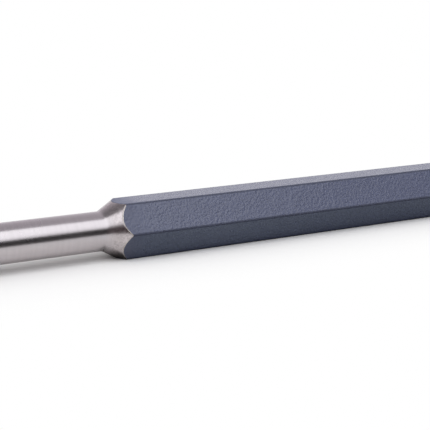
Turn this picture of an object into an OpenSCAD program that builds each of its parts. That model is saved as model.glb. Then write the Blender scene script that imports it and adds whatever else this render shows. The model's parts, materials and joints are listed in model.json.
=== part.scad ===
/* [Bar] */
// Whole length of the punch, from the pin's tip to the struck face
overall_length = 144.4625; // [125:0.0125:200]
// Width of the steel hexagon across its flats, a 7/16 inch bar
hex_across_flats = 11.1125; // [9.5:0.0125:14]
// Rounding of the hexagon's six long edges, as drawn
hex_edge_r = 0.35; // [0.15:0.05:0.8]

/* [Pin] */
// Diameter of the ground pin, 5/16 inch
pin_d = 7.9375; // [4:0.0125:9]
// Length of the pin, from its tip to where its side would meet the shoulder
pin_length = 50.8; // [25:0.1:70]
// Break on the edge of the pin's flat tip, at 45 degrees
tip_chamfer = 0.4; // [0.1:0.05:0.8]

/* [Shoulder] */
// Angle between the ground shoulder and the punch's axis
shoulder_angle = 30; // [20:1:50]
// Hollow radius that the wheel leaves where the pin runs into the shoulder
shoulder_fillet_r = 1.5; // [0.5:0.1:3]

/* [Struck end] */
// Diameter of the flat struck face, measured before its edge is rounded
head_face_d = 8.4; // [6.5:0.1:9]
// Angle between the turned bevel of the struck end and the punch's axis
head_bevel_angle = 42; // [30:1:60]
// Rounding between the bevel and the struck face
head_edge_r = 0.5; // [0.2:0.1:1]

/* [Coating] */
// Thickness of the baked coating on the six flats
coating_t = 0.08; // [0.05:0.01:0.3]

/* [Hidden] */

// Facets round a full turn
$fn = 96;
// Steps along each arc of the turned profile
arc_steps = 8;
// How far the turned profile runs past the hexagon that it trims
overrun = 1;
// How far an edge's arc stands proud of the flats, so that the two cross and don't just graze
edge_slack = 0.0005;

pin_r = pin_d / 2;
head_face_r = head_face_d / 2;
coated_across_flats = hex_across_flats + 2 * coating_t;
coated_edge_r = hex_edge_r + coating_t;
// Radius that clears the coated hexagon's corners
envelope_r = coated_across_flats / 2 / cos(30) + overrun;

// Length along each side that a rounding takes from the corner where two sides meet
fillet_tangent = shoulder_fillet_r * tan(shoulder_angle / 2);
head_edge_tangent = head_edge_r * tan((90 - head_bevel_angle) / 2);

// Points of an arc about a centre, between two angles
function arc(centre, r, from, to) = [
    for (i = [0:arc_steps]) let (a = from + (to - from) * i / arc_steps) centre + r * [cos(a), sin(a)]
];

// Half outline of the turned and ground shape as [radius, distance from the tip]:
// tip, pin, hollow radius, shoulder, clear of the bar, head bevel, rounded edge, struck face
turned_outline = concat(
    [
        [0, 0],
        [pin_r - tip_chamfer, 0],
        [pin_r, tip_chamfer]
    ],
    arc([pin_r + shoulder_fillet_r, pin_length - fillet_tangent], shoulder_fillet_r, 180, 180 - shoulder_angle),
    [
        [envelope_r, pin_length + (envelope_r - pin_r) / tan(shoulder_angle)],
        [envelope_r, overall_length - (envelope_r - head_face_r) / tan(head_bevel_angle)]
    ],
    arc([head_face_r - head_edge_tangent, overall_length - head_edge_r], head_edge_r, head_bevel_angle, 90),
    [[0, overall_length]]
);

// Lays a shape built up from the tip along +X, resting on a coated flat, with the origin
// below the middle of the punch
module lay_on_flat() {
    translate([-overall_length / 2, 0, coated_across_flats / 2]) rotate([90, 0, 90]) children();
}

// What the rounding of one edge removes from the sharp hexagon, at its corner on +X
module edge_waste(across_flats, edge_r) {
    corner = across_flats / 2 / cos(30);
    inset = (edge_r - edge_slack) / cos(30);
    difference() {
        translate([corner - inset / 4, -edge_r]) square([edge_r, 2 * edge_r]);
        translate([corner - inset, 0]) circle(edge_r);
    }
}

// Section of a drawn hexagonal bar, with two flats square to Y
module hexagon(across_flats, edge_r) {
    difference() {
        circle(d = across_flats / cos(30), $fn = 6);
        for (turn = [0:60:300]) rotate(turn) edge_waste(across_flats, edge_r);
    }
}

// Section of the steel bar
module bar_section() {
    hexagon(hex_across_flats, hex_edge_r);
}

// Everything that turning and grinding leaves, before the hexagon's flats limit it
module turned_envelope() {
    rotate_extrude() polygon(turned_outline);
}

// The punch itself, one bar of steel: where the cone of the shoulder and the bevel of the
// struck end run out on the six flats, each leaves a scalloped edge
module punch_bar() {
    color("silver") lay_on_flat() intersection() {
        linear_extrude(overall_length) bar_section();
        turned_envelope();
    }
}

// The coating on the hexagon, cut through by the same grinding at the shoulder and the head
module body_coating() {
    color("slategray") lay_on_flat() intersection() {
        linear_extrude(overall_length) difference() {
            hexagon(coated_across_flats, coated_edge_r);
            bar_section();
        }
        turned_envelope();
    }
}

punch_bar();
body_coating();
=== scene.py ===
import json
import math

import bpy
from mathutils import Matrix, Quaternion, Vector


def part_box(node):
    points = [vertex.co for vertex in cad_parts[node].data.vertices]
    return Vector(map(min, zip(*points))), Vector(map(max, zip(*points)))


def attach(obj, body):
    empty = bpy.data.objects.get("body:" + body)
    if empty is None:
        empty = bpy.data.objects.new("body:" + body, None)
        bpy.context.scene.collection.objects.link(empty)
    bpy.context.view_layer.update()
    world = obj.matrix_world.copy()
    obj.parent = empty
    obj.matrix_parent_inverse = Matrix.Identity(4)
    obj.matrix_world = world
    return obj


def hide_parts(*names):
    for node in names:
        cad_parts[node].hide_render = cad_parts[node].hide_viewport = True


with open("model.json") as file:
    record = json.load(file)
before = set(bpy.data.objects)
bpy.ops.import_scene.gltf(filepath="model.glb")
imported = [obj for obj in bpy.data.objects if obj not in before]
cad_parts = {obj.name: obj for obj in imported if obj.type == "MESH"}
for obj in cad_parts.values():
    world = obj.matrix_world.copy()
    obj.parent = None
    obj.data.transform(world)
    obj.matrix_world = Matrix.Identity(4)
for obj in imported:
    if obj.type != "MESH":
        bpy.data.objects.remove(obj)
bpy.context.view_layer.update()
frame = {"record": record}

MM = 0.001

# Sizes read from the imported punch. A flat is given by its distance from the axis.
record_mounts = {mount["name"]: mount for mount in frame["record"]["mounts"]}
bar_low, bar_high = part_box("punch_bar")
coating_low, coating_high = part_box("body_coating")
tip_x = bar_low.x
punch_length = bar_high.x - bar_low.x
coated_flat = (coating_high.z - coating_low.z) / 2
steel_flat = (bar_high.z - bar_low.z) / 2
axis_z = coating_low.z + coated_flat
pin_r = record_mounts["pin_shank"]["dims"]["r_mm"] * MM
pin_wall = record_mounts["pin_shank"]["dims"]["length_mm"] * MM

# Sizes of the turned and ground shape
tip_chamfer = 0.4 * MM
shoulder_angle = math.radians(30)
shoulder_fillet_r = 1.5 * MM
head_face_r = 4.2 * MM
head_bevel_angle = math.radians(42)
head_edge_r = 0.5 * MM
steel_edge_r = 0.35 * MM
coated_edge_r = steel_edge_r + coated_flat - steel_flat
# How far the grinding wheel and the handling have eased a corner
tip_ease = 0.07 * MM
coating_ease = 0.045 * MM

fillet_tangent = shoulder_fillet_r * math.tan(shoulder_angle / 2)
head_edge_tangent = head_edge_r * math.tan((math.pi / 2 - head_bevel_angle) / 2)
pin_length = tip_chamfer + pin_wall + fillet_tangent
shoulder_x = tip_x + pin_length

SIDES = 6
side_turn = math.tau / SIDES

# How finely the skins are divided: steps round an eased corner, round the edge between two sides
# and across half a flat, and points that cut each straight stretch of the outlines
ARC_STEPS = 6
EDGE_STEPS = 5
FLAT_STEPS = 22
CUTS = {
    "tip_face": 3,
    "tip_break": 2,
    "pin": 8,
    "shoulder": 5,
    "body": 2,
    "bevel": 3,
    "struck_face": 3,
    "coating": 24,
}
# How far from a rounding the nearest points of a flat or a straight stretch lie
SUPPORT = 0.12 * MM
# The distance within which points of neighbouring sides become one
WELD = 0.0002 * MM

# Patterns of the finishes: a scale is how many grains lie in a metre, and a tone multiplies a
# colour. The middle range of a noise holds most of it.
NOISE_MIDDLE = (0.3, 0.7)

# Ground steel: its rings are this much closer together than their unevenness round the bar
RING_STRETCH = 40
FINE_RING_SCALE = 160
FINE_RING_DEPTH = 0.006 * MM
COARSE_RING_SCALE = 40
COARSE_RING_TONES = (0.97, 1.03)
POLISH_SCALE = 90
POLISH_ROUGHNESS = (0.26, 0.29)
# How strongly the rings draw out what they mirror, and the turn that lays it along the punch
RING_DRAW = 0.5
QUARTER_TURN = 0.25
PIN_COLOUR = (0.474, 0.443, 0.457, 1)
# The shoulder and the struck end, which are ground more coarsely than the pin
COARSE_GROUND_COLOUR = (0.467, 0.428, 0.435, 1)
MOTTLE_SCALE = 2400
MOTTLE_TONES = (0.82, 1.16)

# Baked coating: its orange peel, its small specks, its large clouds and its uneven sheen
COATING_COLOUR = (0.0915, 0.1025, 0.171)
COATING_SPECULAR = 0.6
PEEL_SCALE = 1900
PEEL_DEPTH = 0.15 * MM
SPECK_SCALE = 2600
SPECK_TONES = (0.94, 1.06)
CLOUD_SCALE = 320
CLOUD_TONES = (0.97, 1.03)
SHEEN_SCALE = 2100
SHEEN_SHIFT = (1, 1, 1)
SHEEN_ROUGHNESS = (0.17, 0.28)
# Where it was rubbed along the edges, and where it was splashed next to the grinding
RUBBED_TONE = 0.6
RUBBED_ROUGHNESS = 0.8
SPLASHED_ROUGHNESS = 0.44
SPLASHED_REACH = 7 * MM
# How far it is torn back from its cut ends, and in the middle of the top and bottom flats, where
# the bar holds it
TORN_COLOUR = (0.6, 0.56, 0.53, 1)
TORN_REACH = 0.3 * MM
HELD_TORN_REACH = TORN_REACH / 6
HELD_HALF_WIDTH = 3.2 * MM
# The pattern that says where it holds well, and how far the peel changes that
HOLD_SCALE = 240
HOLD_SHIFT = (0.113, 0.007, 0)
PEEL_TORN_SHARES = (0.75, 1)

# Camera: the photograph's width and focal length in pixels, the place in it at which the shoulder
# starts on the axis, and the direction and distance from which that was seen
PHOTO_PX = 430
FOCAL_PX = 1111.9
SHOULDER_U, SHOULDER_V = 100.07, 231.19
view_azimuth = math.radians(29.153)
view_elevation = math.radians(12.972)
shoulder_depth = 219.37 * MM
SENSOR_WIDTH = 36
CLIP_START = 10 * MM
CLIP_END = 20

WHITE = (1, 1, 1, 1)

# Floor: how far it reaches, where it ends on the camera's side and how high it lies, and how far
# from the punch it starts to turn to plain white and is white
FLOOR_REACH = 3.0
FLOOR_FRONT = -45 * MM
FLOOR_HEIGHT = -0.01 * MM
FLOOR_FADE = (5 * MM, 30 * MM)
# As the camera sees it, and as it lights the punch
FLOOR_COLOUR = (1, 0.985, 0.985, 1)
FLOOR_TONE = 0.8
FLOOR_LIGHTING_TONE = 0.24
# As the finishes mirror it: a painted shadow, dark under the flat that the punch lies on and a
# little way past its ends and its sides, and painted reflection colours by the pin, by the body
# and by the head, bluer by the body and darker by the head
PAINTED_SHADOW_MIRROR_TONES = (0.1, 0.87)
PAINTED_SHADOW_PAST_ENDS = 4.0 * MM
PAINTED_SHADOW_PAST_SIDES = 1.0 * MM
PAINTED_REFLECTION_BY_PIN = (0.99, 0.965, 0.955, 1)
PAINTED_REFLECTION_BY_BODY = (0.76, 0.86, 0.95, 1)
PAINTED_REFLECTION_BY_HEAD = (0.53, 0.6, 0.67, 1)
# How far past the start of that flat, and past the middle of the punch, the next colour is reached
BODY_COLOUR_RUN = 6 * MM
HEAD_COLOUR_RUN = 45 * MM

# Dark strip: its distance from the punch, how far above and below the horizon it reaches, half of
# its turn round the punch, and the stretch along the punch's axis over which its colour changes
STRIP_DISTANCE = 1.3
STRIP_ABOVE = math.radians(25)
STRIP_BELOW = math.radians(10)
STRIP_HALF_TURN = math.radians(65)
STRIP_STEPS = 24
STRIP_STRETCH = (-0.5, 0.2)
STRIP_BY_PIN = (0.058, 0.032, 0.037, 1)
STRIP_BY_HEAD = (0.02, 0.017, 0.019, 1)

# Soft light: its colour, its distance, how far its left side is turned up, and for its whole face
# and its bright middle the radiance, the elevations and the sides between which each lies
LIGHT_COLOUR = (0.99, 1.015, 1.03)
LIGHT_DISTANCE = 1.0
LEFT_SIDE_UP = math.radians(6)
SOFT_LIGHT_GLOW = 1.15
SOFT_LIGHT_ELEVATIONS = (math.radians(27.5), math.radians(86))
SOFT_LIGHT_SIDES = (-0.95, 0.68)
BRIGHT_MIDDLE_GLOW = 0.55
BRIGHT_MIDDLE_ELEVATIONS = (math.radians(38), math.radians(84))
BRIGHT_MIDDLE_SIDES = (-0.85, 0.68)

# Sky: a direction's X runs along the punch to its head, Y away from the camera, and Z up. The sky
# is white up to one height and has its ceiling's grey from another, which rises over a stretch
# of Y, from the camera's side to overhead.
WHITE_HEIGHT = 0.12
CAMERA_SIDE = (-0.5, 0)
CEILING_HEIGHTS = (0.42, 0.9)
# The ceiling's grey round the soft light, the stretch of Y over which that ends, the greys past
# it, over the pin's end and over the head, and the stretch of X between them
LIGHT_SIDE_GREY = 0.25
LIGHT_EDGE = (-0.15, 0.05)
OVERHEAD_GREYS = (0.22, 0.64)
PIN_END_TO_HEAD = (-0.35, 0.35)
# The light that matt surfaces get: low down, on the camera's side and behind, and from above
LOW_FILLS = (0.1, 0.8)
HIGH_FILL = 0.92
# The haze over the white, full at a height, and greyer past the head, over a stretch of X
HAZE_HEIGHT = 0.24
HAZE_COLOUR = (0.92, 0.864, 0.93, 1)
PAST_HEAD = (0.53, 0.66)
PAST_HEAD_HAZE_COLOUR = (0.8, 0.765, 0.83, 1)


def side_angles():
    """Angles across one side of the hexagon, from edge to edge, measured from the side's normal."""
    straight = (coated_flat - coated_edge_r) * math.tan(side_turn / 2)
    half = [math.atan2(straight * k / FLAT_STEPS, coated_flat) for k in range(1, FLAT_STEPS)]
    half.append(math.atan2(straight - SUPPORT, coated_flat))
    for k in range(EDGE_STEPS + 1):
        lean = side_turn / 2 * k / EDGE_STEPS
        across = straight + coated_edge_r * math.sin(lean)
        out = coated_flat - coated_edge_r + coated_edge_r * math.cos(lean)
        half.append(math.atan2(across, out))
    half.sort()
    return [-angle for angle in reversed(half)] + [0] + half


def section_radius(angle, flat, edge_r):
    """Distance from the axis to a rounded hexagon, at an angle from a side's normal."""
    straight = (flat - edge_r) * math.tan(side_turn / 2)
    if flat * math.tan(abs(angle)) <= straight:
        return flat / math.cos(angle)
    centre = (flat - edge_r) / math.cos(side_turn / 2)
    off = side_turn / 2 - abs(angle)
    return centre * math.cos(off) + math.sqrt(edge_r ** 2 - (centre * math.sin(off)) ** 2)


def edge_rounding(angle):
    """1 on the rounded edge between two sides, and 0 on the flat of a side."""
    straight = (coated_flat - coated_edge_r) * math.tan(side_turn / 2)
    past = coated_flat * math.tan(abs(angle)) - straight
    return min(max(past / SUPPORT + 1, 0), 1)


def shoulder_station(radius):
    """Distance from the tip at which the ground shoulder has a radius."""
    return pin_length + (radius - pin_r) / math.tan(shoulder_angle)


def bevel_station(radius):
    """Distance from the tip at which the bevel of the struck end has a radius."""
    return punch_length - (radius - head_face_r) / math.tan(head_bevel_angle)


def eased(stops, closed=False):
    """Points of an outline of (radius, station) corners. With each corner comes the length that its
    rounding takes from the two sides that meet there, and how many points cut the side after it."""
    points = []
    count = len(stops)
    for i, (corner, ease, cuts) in enumerate(stops):
        corner = Vector(corner)
        before = Vector(stops[i - 1][0])
        after = Vector(stops[(i + 1) % count][0])
        if ease:
            start = corner + (before - corner).normalized() * ease
            end = corner + (after - corner).normalized() * ease
            for k in range(ARC_STEPS + 1):
                t = k / ARC_STEPS
                points.append((1 - t) ** 2 * start + 2 * t * (1 - t) * corner + t ** 2 * end)
        else:
            points.append(corner)
        if i < count - 1 or closed:
            next_ease = stops[(i + 1) % count][1]
            run = (after - corner).length
            way = (after - corner).normalized()
            first, last = ease + SUPPORT, run - next_ease - SUPPORT
            if cuts > 1 and last > first:
                for k in range(cuts):
                    points.append(corner + way * (first + (last - first) * k / (cuts - 1)))
    return points


def bar_outline(angle):
    """The steel bar's outline from the tip to the struck face, at an angle from a side's normal."""
    steel = section_radius(angle, steel_flat, steel_edge_r)
    return eased([
        ((0, 0), 0, CUTS["tip_face"]),
        ((pin_r - tip_chamfer, 0), tip_ease, CUTS["tip_break"]),
        ((pin_r, tip_chamfer), tip_ease, CUTS["pin"]),
        ((pin_r, pin_length), fillet_tangent, CUTS["shoulder"]),
        ((steel, shoulder_station(steel)), 0, CUTS["body"]),
        ((steel, bevel_station(steel)), 0, CUTS["bevel"]),
        ((head_face_r, punch_length), head_edge_tangent, CUTS["struck_face"]),
        ((0, punch_length), 0, 0),
    ])


def coating_outline(angle):
    """The coating's closed outline: along the outside from the shoulder to the head, and back."""
    steel = section_radius(angle, steel_flat, steel_edge_r)
    coated = section_radius(angle, coated_flat, coated_edge_r)
    return eased([
        ((steel, shoulder_station(steel)), 0, 0),
        ((coated, shoulder_station(coated)), coating_ease, CUTS["coating"]),
        ((coated, bevel_station(coated)), coating_ease, 0),
        ((steel, bevel_station(steel)), 0, 0),
    ], closed=True)


def side_skin(name, outline, closed):
    """One sixth of a skin, over the upper side of a hexagon whose axis is the X axis.
    Each point keeps its distance along the outline, for the marks of grinding, how far it is
    from the nearer end of the outline, and whether it is on the rounding between two sides."""
    columns = [outline(angle) for angle in side_angles()]
    rows = len(columns[0])
    verts, runs, ends, rounds = [], [], [], []
    for angle, column in zip(side_angles(), columns):
        run = 0
        rounding = edge_rounding(angle)
        whole = sum((column[j] - column[j - 1]).length for j in range(1, rows))
        for j, (radius, station) in enumerate(column):
            if j:
                run += (column[j] - column[j - 1]).length
            verts.append((tip_x + station, radius * math.sin(angle), radius * math.cos(angle)))
            runs.append(run)
            ends.append(min(run, whole - run))
            rounds.append(rounding)
    faces = []
    for i in range(len(columns) - 1):
        for j in range(rows if closed else rows - 1):
            k = (j + 1) % rows
            faces.append((i * rows + j, i * rows + k, (i + 1) * rows + k, (i + 1) * rows + j))
    mesh = bpy.data.meshes.new(name)
    mesh.from_pydata(verts, [], faces)
    for title, values in (("ground_run", runs), ("from_end", ends), ("edge_rounding", rounds)):
        attribute = mesh.attributes.new(title, "FLOAT", "POINT")
        attribute.data.foreach_set("value", values)
    mesh.update()
    return mesh


class Nodes:
    """Adds nodes to a tree in columns from left to right, each in the next of a few rows, and links
    them by socket name or number."""

    COLUMN_WIDTH = 190
    ROW_HEIGHT = 160
    ROWS = 3

    def __init__(self, tree):
        self.tree = tree
        self.count = 0

    def add(self, kind, inputs=None, **settings):
        node = self.tree.nodes.new(kind)
        node.location = (self.count * self.COLUMN_WIDTH, -(self.count % self.ROWS) * self.ROW_HEIGHT)
        self.count += 1
        for key, value in settings.items():
            setattr(node, key, value)
        for key, value in (inputs or {}).items():
            if isinstance(value, bpy.types.NodeSocket):
                self.tree.links.new(value, node.inputs[key])
            else:
                node.inputs[key].default_value = value
        return node


def calculate(nodes, operation, *values):
    """The result of an operation on one or two values."""
    return nodes.add("ShaderNodeMath", dict(enumerate(values)), operation=operation).outputs[0]


def six_sides_tree():
    """Geometry nodes that turn one side's skin into a closed six-sided one, on the punch's axis."""
    tree = bpy.data.node_groups.new("six_sides", "GeometryNodeTree")
    face = tree.interface
    face.new_socket("Side", in_out="INPUT", socket_type="NodeSocketGeometry")
    face.new_socket("Sides", in_out="INPUT", socket_type="NodeSocketInt")
    face.new_socket("Axis Height", in_out="INPUT", socket_type="NodeSocketFloat")
    face.new_socket("Weld Distance", in_out="INPUT", socket_type="NodeSocketFloat")
    face.new_socket("Finish", in_out="INPUT", socket_type="NodeSocketMaterial")
    face.new_socket("Skin", in_out="OUTPUT", socket_type="NodeSocketGeometry")
    nodes = Nodes(tree)
    sizes = nodes.add("NodeGroupInput").outputs
    points = nodes.add("GeometryNodePoints", {"Count": sizes["Sides"]})
    turn = calculate(nodes, "DIVIDE", math.tau, sizes["Sides"])
    index = nodes.add("GeometryNodeInputIndex").outputs[0]
    rotation = nodes.add("ShaderNodeCombineXYZ", {"X": calculate(nodes, "MULTIPLY", index, turn)})
    sides = nodes.add("GeometryNodeInstanceOnPoints", {
        "Points": points.outputs[0],
        "Instance": sizes["Side"],
        "Rotation": rotation.outputs[0],
    })
    realized = nodes.add("GeometryNodeRealizeInstances", {0: sides.outputs[0]})
    welded = nodes.add("GeometryNodeMergeByDistance", {
        "Geometry": realized.outputs[0],
        "Distance": sizes["Weld Distance"],
    })
    height = nodes.add("ShaderNodeCombineXYZ", {"Z": sizes["Axis Height"]})
    placed = nodes.add("GeometryNodeTransform", {
        "Geometry": welded.outputs[0],
        "Translation": height.outputs[0],
    })
    smooth = nodes.add("GeometryNodeSetShadeSmooth", {0: placed.outputs[0]})
    finished = nodes.add("GeometryNodeSetMaterial", {
        "Geometry": smooth.outputs[0],
        "Material": sizes["Finish"],
    })
    nodes.add("NodeGroupOutput", {"Skin": finished.outputs[0]})
    return tree


def six_sided_piece(name, outline, closed, finish, tree):
    """A finished piece of the punch, made from one side's skin."""
    side = side_skin(name + "_side", outline, closed)
    side.materials.append(finish)
    piece = bpy.data.objects.new(name, side)
    bpy.context.scene.collection.objects.link(piece)
    modifier = piece.modifiers.new("six_sides", "NODES")
    modifier.node_group = tree
    values = {"Sides": SIDES, "Axis Height": axis_z, "Weld Distance": WELD, "Finish": finish}
    for item in tree.interface.items_tree:
        if item.name in values:
            modifier[item.identifier] = values[item.name]
    graph = bpy.context.evaluated_depsgraph_get()
    mesh = bpy.data.meshes.new_from_object(piece.evaluated_get(graph))
    mesh.name = name
    piece.modifiers.remove(modifier)
    piece.data = mesh
    return piece


def new_material(name):
    """A material without nodes, and what adds nodes to it."""
    material = bpy.data.materials.new(name)
    material.use_nodes = True
    material.node_tree.nodes.clear()
    return material, Nodes(material.node_tree)


def noise(nodes, place, scale, detail):
    """An uneven pattern over a place, from 0 to 1."""
    return nodes.add("ShaderNodeTexNoise", {
        "Vector": place, "Scale": scale, "Detail": detail,
    }).outputs["Fac"]


def moved(nodes, place, shift):
    """A place with a shift added, at which a pattern is another part of itself."""
    return nodes.add("ShaderNodeVectorMath", {0: place, 1: shift}, operation="ADD").outputs[0]


def ramp(nodes, value, stretch, results=(0, 1), smooth=False):
    """The first result up to the start of a stretch, the second past its end, and between them
    what lies between."""
    return nodes.add("ShaderNodeMapRange", {
        "Value": value,
        "From Min": stretch[0],
        "From Max": stretch[1],
        "To Min": results[0],
        "To Max": results[1],
    }, interpolation_type="SMOOTHSTEP" if smooth else "LINEAR").outputs[0]


def between(nodes, share, first, second):
    """The value at a share of the way from the first to the second."""
    return ramp(nodes, share, (0, 1), (first, second))


def spread(nodes, pattern, results):
    """A noise's middle range, spread over the results."""
    return ramp(nodes, pattern, NOISE_MIDDLE, results)


def blended(nodes, share, first, second):
    """The colour at a share of the way from the first to the second."""
    return nodes.add("ShaderNodeMix", {
        "Factor": share, "A": first, "B": second,
    }, data_type="RGBA").outputs["Result"]


def shaded(nodes, colour, tone):
    """A colour made darker or lighter by a tone that changes over the surface."""
    return nodes.add("ShaderNodeVectorMath", {0: colour, "Scale": tone}, operation="SCALE").outputs[0]


def ground_steel():
    """Bare steel ground round the axis: fine rings, and light drawn out along the punch. Past the
    pin it is ground more coarsely, mottled and a little warmer."""
    material, nodes = new_material("ring_ground_steel")
    run = nodes.add("ShaderNodeAttribute", attribute_name="ground_run").outputs["Fac"]
    place = nodes.add("ShaderNodeTexCoord").outputs["Object"]
    axes = nodes.add("ShaderNodeSeparateXYZ", {0: place}).outputs
    rings = nodes.add("ShaderNodeCombineXYZ", {
        "X": calculate(nodes, "MULTIPLY", run, RING_STRETCH),
        "Y": axes["Y"],
        "Z": axes["Z"],
    }).outputs[0]
    fine = noise(nodes, rings, FINE_RING_SCALE, detail=3)
    coarse = noise(nodes, rings, COARSE_RING_SCALE, detail=2)
    polish = noise(nodes, place, POLISH_SCALE, detail=1)
    mottle = noise(nodes, place, MOTTLE_SCALE, detail=2)
    off_pin = ramp(nodes, axes["X"], (shoulder_x, shoulder_x + shoulder_fillet_r))
    mottled = between(nodes, off_pin, 1, spread(nodes, mottle, MOTTLE_TONES))
    tone = calculate(nodes, "MULTIPLY", spread(nodes, coarse, COARSE_RING_TONES), mottled)
    colour = blended(nodes, off_pin, PIN_COLOUR, COARSE_GROUND_COLOUR)
    grooves = nodes.add("ShaderNodeBump", {"Height": fine, "Strength": 1, "Distance": FINE_RING_DEPTH})
    tangent = nodes.add("ShaderNodeTangent", direction_type="RADIAL", axis="X")
    steel = nodes.add("ShaderNodeBsdfPrincipled", {
        "Base Color": shaded(nodes, colour, tone),
        "Metallic": 1,
        "Roughness": spread(nodes, polish, POLISH_ROUGHNESS),
        "Anisotropic": RING_DRAW,
        "Anisotropic Rotation": QUARTER_TURN,
        "Normal": grooves.outputs[0],
        "Tangent": tangent.outputs[0],
    })
    nodes.add("ShaderNodeOutputMaterial", {"Surface": steel.outputs[0]})
    return material


def torn_rim(nodes, place, from_end, peel):
    """1 where the coating is torn back from its cut ends, and 0 where it is whole. It is hardly
    torn in the middle of the top and bottom flats."""
    side = nodes.add("ShaderNodeSeparateXYZ", {0: place}).outputs["Y"]
    sideways = calculate(nodes, "ABSOLUTE", side)
    held_edge = (HELD_HALF_WIDTH, HELD_HALF_WIDTH + TORN_REACH)
    reach = ramp(nodes, sideways, held_edge, (HELD_TORN_REACH, TORN_REACH))
    hold = noise(nodes, moved(nodes, place, HOLD_SHIFT), HOLD_SCALE, detail=0)
    hold_share = spread(nodes, hold, (0, 1))
    peel_share = spread(nodes, peel, PEEL_TORN_SHARES)
    torn_share = calculate(nodes, "MULTIPLY", hold_share, peel_share)
    return calculate(nodes, "LESS_THAN", from_end, calculate(nodes, "MULTIPLY", torn_share, reach))


def baked_coating():
    """Blue-grey baked coating: satin with an orange peel, dull where it was rubbed along the edges
    and splashed next to the grinding, and torn back to bare metal at its cut ends."""
    material, nodes = new_material("blue_grey_bake")
    place = nodes.add("ShaderNodeTexCoord").outputs["Object"]
    edge = nodes.add("ShaderNodeAttribute", attribute_name="edge_rounding").outputs["Fac"]
    from_end = nodes.add("ShaderNodeAttribute", attribute_name="from_end").outputs["Fac"]
    peel = noise(nodes, place, PEEL_SCALE, detail=3)
    speck = noise(nodes, place, SPECK_SCALE, detail=1)
    cloud = noise(nodes, place, CLOUD_SCALE, detail=3)
    sheen = noise(nodes, moved(nodes, place, SHEEN_SHIFT), SHEEN_SCALE, detail=2)
    speck_tone = spread(nodes, speck, SPECK_TONES)
    flat_tone = calculate(nodes, "MULTIPLY", speck_tone, spread(nodes, cloud, CLOUD_TONES))
    tone = calculate(nodes, "MULTIPLY", between(nodes, edge, 1, RUBBED_TONE), flat_tone)
    torn = torn_rim(nodes, place, from_end, peel)
    splashed = ramp(nodes, from_end, (0, SPLASHED_REACH), (1, 0), smooth=True)
    flat_roughness = between(nodes, splashed, spread(nodes, sheen, SHEEN_ROUGHNESS), SPLASHED_ROUGHNESS)
    grain = nodes.add("ShaderNodeBump", {"Height": peel, "Strength": 1, "Distance": PEEL_DEPTH})
    coat = nodes.add("ShaderNodeBsdfPrincipled", {
        "Base Color": blended(nodes, torn, shaded(nodes, COATING_COLOUR, tone), TORN_COLOUR),
        "Metallic": torn,
        "Roughness": between(nodes, edge, flat_roughness, RUBBED_ROUGHNESS),
        "Specular IOR Level": COATING_SPECULAR,
        "Normal": grain.outputs[0],
    })
    nodes.add("ShaderNodeOutputMaterial", {"Surface": coat.outputs[0]})
    return material


def dress(piece, node):
    """Sets a piece on the punch's body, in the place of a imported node."""
    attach(piece, "root")
    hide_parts(node)


def photo_camera():
    """The camera, placed so that the start of the shoulder falls on its place in the photograph."""
    shoulder = Vector((shoulder_x, 0, axis_z))
    ahead = Vector((
        math.sin(view_azimuth) * math.cos(view_elevation),
        math.cos(view_azimuth) * math.cos(view_elevation),
        -math.sin(view_elevation),
    ))
    right = Vector((math.cos(view_azimuth), -math.sin(view_azimuth), 0))
    up = right.cross(ahead)
    shift_right = (SHOULDER_U - PHOTO_PX / 2) / FOCAL_PX * shoulder_depth
    shift_up = (PHOTO_PX / 2 - SHOULDER_V) / FOCAL_PX * shoulder_depth
    camera_data = bpy.data.cameras.new("photo_camera")
    camera_data.sensor_width = SENSOR_WIDTH
    camera_data.lens = FOCAL_PX / PHOTO_PX * SENSOR_WIDTH
    camera_data.clip_start = CLIP_START
    camera_data.clip_end = CLIP_END
    camera = bpy.data.objects.new("photo_camera", camera_data)
    bpy.context.scene.collection.objects.link(camera)
    place = shoulder - right * shift_right - up * shift_up - ahead * shoulder_depth
    turned = Matrix((right, up, -ahead)).transposed()
    camera.matrix_world = Matrix.Translation(place) @ turned.to_4x4()
    bpy.context.scene.camera = camera


def seen_directly(nodes):
    """1 for what the camera, a mirror or glass sees, and 0 for the light that a surface scatters."""
    path = nodes.add("ShaderNodeLightPath").outputs
    seen = calculate(nodes, "MAXIMUM", path["Is Camera Ray"], path["Is Glossy Ray"])
    return calculate(nodes, "MAXIMUM", seen, path["Is Transmission Ray"])


def stage_piece(name, verts, faces, material):
    """A piece of the studio, which isn't part of the punch."""
    mesh = bpy.data.meshes.new(name)
    mesh.from_pydata(verts, [], faces)
    mesh.materials.append(material)
    piece = bpy.data.objects.new(name, mesh)
    bpy.context.scene.collection.objects.link(piece)
    return piece


def length_of(nodes, x, y):
    """The length of a level vector."""
    level = nodes.add("ShaderNodeCombineXYZ", {"X": x, "Y": y}).outputs[0]
    return nodes.add("ShaderNodeVectorMath", {0: level}, operation="LENGTH").outputs["Value"]


def past_stretch(nodes, place, start, end, reach):
    """How far a place lies past the start or the end of a stretch: 0 on it, and 1 at the reach."""
    half = (end - start) / 2
    from_middle = calculate(nodes, "SUBTRACT", place, (start + end) / 2)
    return ramp(nodes, calculate(nodes, "ABSOLUTE", from_middle), (half, half + reach))


def resting_flat():
    """Where along the punch the flat that it lies on starts and ends."""
    return tip_x + shoulder_station(coated_flat), tip_x + bevel_station(coated_flat)


def off_painted_floor_shadow(nodes, axes):
    """0 on the floor under the flat that the punch lies on, and 1 or more a little way past it: the
    reach of the painted shadow that the finishes mirror.
    """
    flat_starts, flat_ends = resting_flat()
    half_width = coated_flat * math.tan(side_turn / 2)
    off_ends = past_stretch(nodes, axes["X"], flat_starts, flat_ends, PAINTED_SHADOW_PAST_ENDS)
    off_sides = past_stretch(nodes, axes["Y"], -half_width, half_width, PAINTED_SHADOW_PAST_SIDES)
    return length_of(nodes, off_ends, off_sides)


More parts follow.
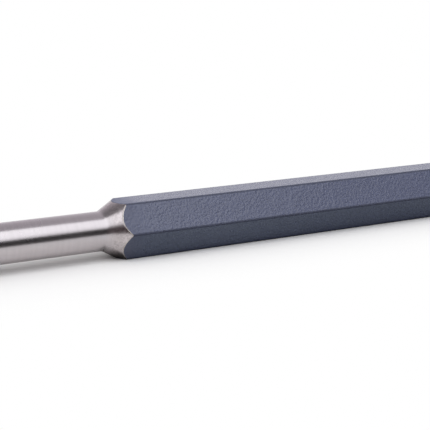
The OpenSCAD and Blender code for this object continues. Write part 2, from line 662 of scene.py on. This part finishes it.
def painted_reflection_colour(nodes, along):
    """The floor's colour in the finishes: a painted reflection colour, which changes along the punch,
    bluer by the body and darker by the head.
    """
    flat_starts = resting_flat()[0]
    by_body = ramp(nodes, along, (flat_starts, flat_starts + BODY_COLOUR_RUN))
    by_head = ramp(nodes, along, (0, HEAD_COLOUR_RUN))
    body_colour = blended(nodes, by_head, PAINTED_REFLECTION_BY_BODY, PAINTED_REFLECTION_BY_HEAD)
    return blended(nodes, by_body, PAINTED_REFLECTION_BY_PIN, body_colour)


def off_punch(nodes, axes):
    """0 on the floor near the punch, and 1 far from it."""
    past_middle = calculate(nodes, "ABSOLUTE", axes["X"])
    past_end = calculate(nodes, "SUBTRACT", past_middle, punch_length / 2)
    distance = length_of(nodes, calculate(nodes, "MAXIMUM", past_end, 0), axes["Y"])
    return ramp(nodes, distance, FLOOR_FADE, smooth=True)


def studio_floor():
    """A pale floor that keeps the shadow near the punch and turns to plain white away from it. The
    finishes mirror it with a painted shadow under the flat that the punch lies on, and in painted
    reflection colours along the punch."""
    material, nodes = new_material("studio_floor")
    seen = seen_directly(nodes)
    mirrored = nodes.add("ShaderNodeLightPath").outputs["Is Glossy Ray"]
    place = nodes.add("ShaderNodeTexCoord").outputs["Object"]
    axes = nodes.add("ShaderNodeSeparateXYZ", {0: place}).outputs
    # Painted shadow: the finishes mirror the floor dark under the flat that the punch lies on
    mirrored_painted_shadow_tone = ramp(nodes, off_painted_floor_shadow(nodes, axes), (0, 1), PAINTED_SHADOW_MIRROR_TONES, smooth=True)
    seen_tone = between(nodes, mirrored, FLOOR_TONE, mirrored_painted_shadow_tone)
    tone = between(nodes, seen, FLOOR_LIGHTING_TONE, seen_tone)
    # Painted reflection colours: the finishes mirror the floor bluer by the body and darker by the head
    colour = blended(nodes, mirrored, FLOOR_COLOUR, painted_reflection_colour(nodes, axes["X"]))
    matt = nodes.add("ShaderNodeBsdfDiffuse", {"Color": shaded(nodes, colour, tone)})
    white = nodes.add("ShaderNodeEmission", {"Color": WHITE, "Strength": 1})
    fade = calculate(nodes, "MULTIPLY", off_punch(nodes, axes), seen)
    shader = nodes.add("ShaderNodeMixShader", {0: fade, 1: matt.outputs[0], 2: white.outputs[0]})
    nodes.add("ShaderNodeOutputMaterial", {"Surface": shader.outputs[0]})
    verts = [
        (-FLOOR_REACH, FLOOR_FRONT, FLOOR_HEIGHT),
        (FLOOR_REACH, FLOOR_FRONT, FLOOR_HEIGHT),
        (FLOOR_REACH, FLOOR_REACH, FLOOR_HEIGHT),
        (-FLOOR_REACH, FLOOR_REACH, FLOOR_HEIGHT),
    ]
    stage_piece("studio_floor", verts, [(0, 1, 2, 3)], material)


def dark_strip():
    """A dark curved strip that stands behind the camera, browner towards the pin's end: the pin,
    the shoulder and the body's edges mirror it."""
    material, nodes = new_material("dark_strip")
    place = nodes.add("ShaderNodeTexCoord").outputs["Object"]
    along = nodes.add("ShaderNodeSeparateXYZ", {0: place}).outputs["X"]
    colour = blended(nodes, ramp(nodes, along, STRIP_STRETCH), STRIP_BY_PIN, STRIP_BY_HEAD)
    dark = nodes.add("ShaderNodeBsdfDiffuse", {"Color": colour})
    nodes.add("ShaderNodeOutputMaterial", {"Surface": dark.outputs[0]})
    top = STRIP_DISTANCE * math.tan(STRIP_ABOVE)
    bottom = -STRIP_DISTANCE * math.tan(STRIP_BELOW)
    verts = []
    for k in range(STRIP_STEPS + 1):
        turn = STRIP_HALF_TURN * (2 * k / STRIP_STEPS - 1)
        for z in (bottom, top):
            verts.append((STRIP_DISTANCE * math.sin(turn), -STRIP_DISTANCE * math.cos(turn), z))
    faces = [(2 * k, 2 * k + 2, 2 * k + 3, 2 * k + 1) for k in range(STRIP_STEPS)]
    strip = stage_piece("dark_strip", verts, faces, material)
    strip.visible_camera = False


def soft_light(name, glow, elevations, sides):
    """A rectangular soft light that spans the sky between two elevations over the camera's side,
    with its left side a little higher."""
    low, high = elevations
    left, right = sides
    middle = (low + high) / 2
    data = bpy.data.lights.new(name, "AREA")
    data.shape = "RECTANGLE"
    data.size = right - left
    data.size_y = 2 * LIGHT_DISTANCE * math.tan((high - low) / 2)
    data.energy = glow * math.pi * data.size * data.size_y
    data.color = LIGHT_COLOUR
    light = bpy.data.objects.new(name, data)
    bpy.context.scene.collection.objects.link(light)
    toward = Vector((0, -math.cos(middle), math.sin(middle)))
    light.location = toward * LIGHT_DISTANCE + Vector(((left + right) / 2, 0, 0))
    turned = toward.to_track_quat("Z", "Y") @ Quaternion((0, 0, 1), -LEFT_SIDE_UP)
    light.rotation_euler = turned.to_euler()


def soft_lights():
    """A large soft light with a brighter middle."""
    soft_light("soft_light", SOFT_LIGHT_GLOW, SOFT_LIGHT_ELEVATIONS, SOFT_LIGHT_SIDES)
    soft_light("bright_middle", BRIGHT_MIDDLE_GLOW, BRIGHT_MIDDLE_ELEVATIONS, BRIGHT_MIDDLE_SIDES)


def seen_sky(nodes, toward):
    """The sky as the camera and the finishes see it: white all round near the horizon, and grey
    overhead, darker round the soft light and over the pin's end."""
    overhead = ramp(nodes, toward["X"], PIN_END_TO_HEAD, OVERHEAD_GREYS, smooth=True)
    ceiling = ramp(nodes, toward["Y"], LIGHT_EDGE, (LIGHT_SIDE_GREY, overhead), smooth=True)
    ceiling_height = ramp(nodes, toward["Y"], CAMERA_SIDE, CEILING_HEIGHTS, smooth=True)
    return ramp(nodes, toward["Z"], (WHITE_HEIGHT, ceiling_height), (1, ceiling))


def sky_fill(nodes, toward):
    """The softer light that matt surfaces get from the sky, strongest from behind and above."""
    low_fill = ramp(nodes, toward["Y"], CAMERA_SIDE, LOW_FILLS, smooth=True)
    return between(nodes, toward["Z"], low_fill, HIGH_FILL)


def sky_colour(nodes, toward, seen):
    """White, with a faint haze over the horizon where the sky is seen, greyer past the head."""
    past_head = ramp(nodes, toward["X"], PAST_HEAD)
    haze = blended(nodes, past_head, HAZE_COLOUR, PAST_HEAD_HAZE_COLOUR)
    over_horizon = ramp(nodes, toward["Z"], (WHITE_HEIGHT, HAZE_HEIGHT))
    return blended(nodes, calculate(nodes, "MULTIPLY", over_horizon, seen), WHITE, haze)


def studio_world():
    """The sky, which is seen in one way and lights matt surfaces in another."""
    world = bpy.data.worlds.new("studio_world")
    bpy.context.scene.world = world
    world.use_nodes = True
    world.node_tree.nodes.clear()
    nodes = Nodes(world.node_tree)
    seen = seen_directly(nodes)
    direction = nodes.add("ShaderNodeTexCoord").outputs["Generated"]
    toward = nodes.add("ShaderNodeSeparateXYZ", {0: direction}).outputs
    glow = nodes.add("ShaderNodeBackground", {
        "Color": sky_colour(nodes, toward, seen),
        "Strength": between(nodes, seen, sky_fill(nodes, toward), seen_sky(nodes, toward)),
    })
    nodes.add("ShaderNodeOutputWorld", {"Surface": glow.outputs[0]})


# The punch: the ground bar, and the coating on its six sides
six_sides = six_sides_tree()
punch_bar = six_sided_piece("ground_bar", bar_outline, False, ground_steel(), six_sides)
dress(punch_bar, "punch_bar")
body_coating = six_sided_piece("baked_coating", coating_outline, True, baked_coating(), six_sides)
dress(body_coating, "body_coating")

# Studio: a pale floor, a large soft light over the camera's side, and a dark strip behind the camera
photo_camera()
studio_floor()
dark_strip()
soft_lights()
studio_world()

bpy.context.scene.view_settings.view_transform = "Standard"
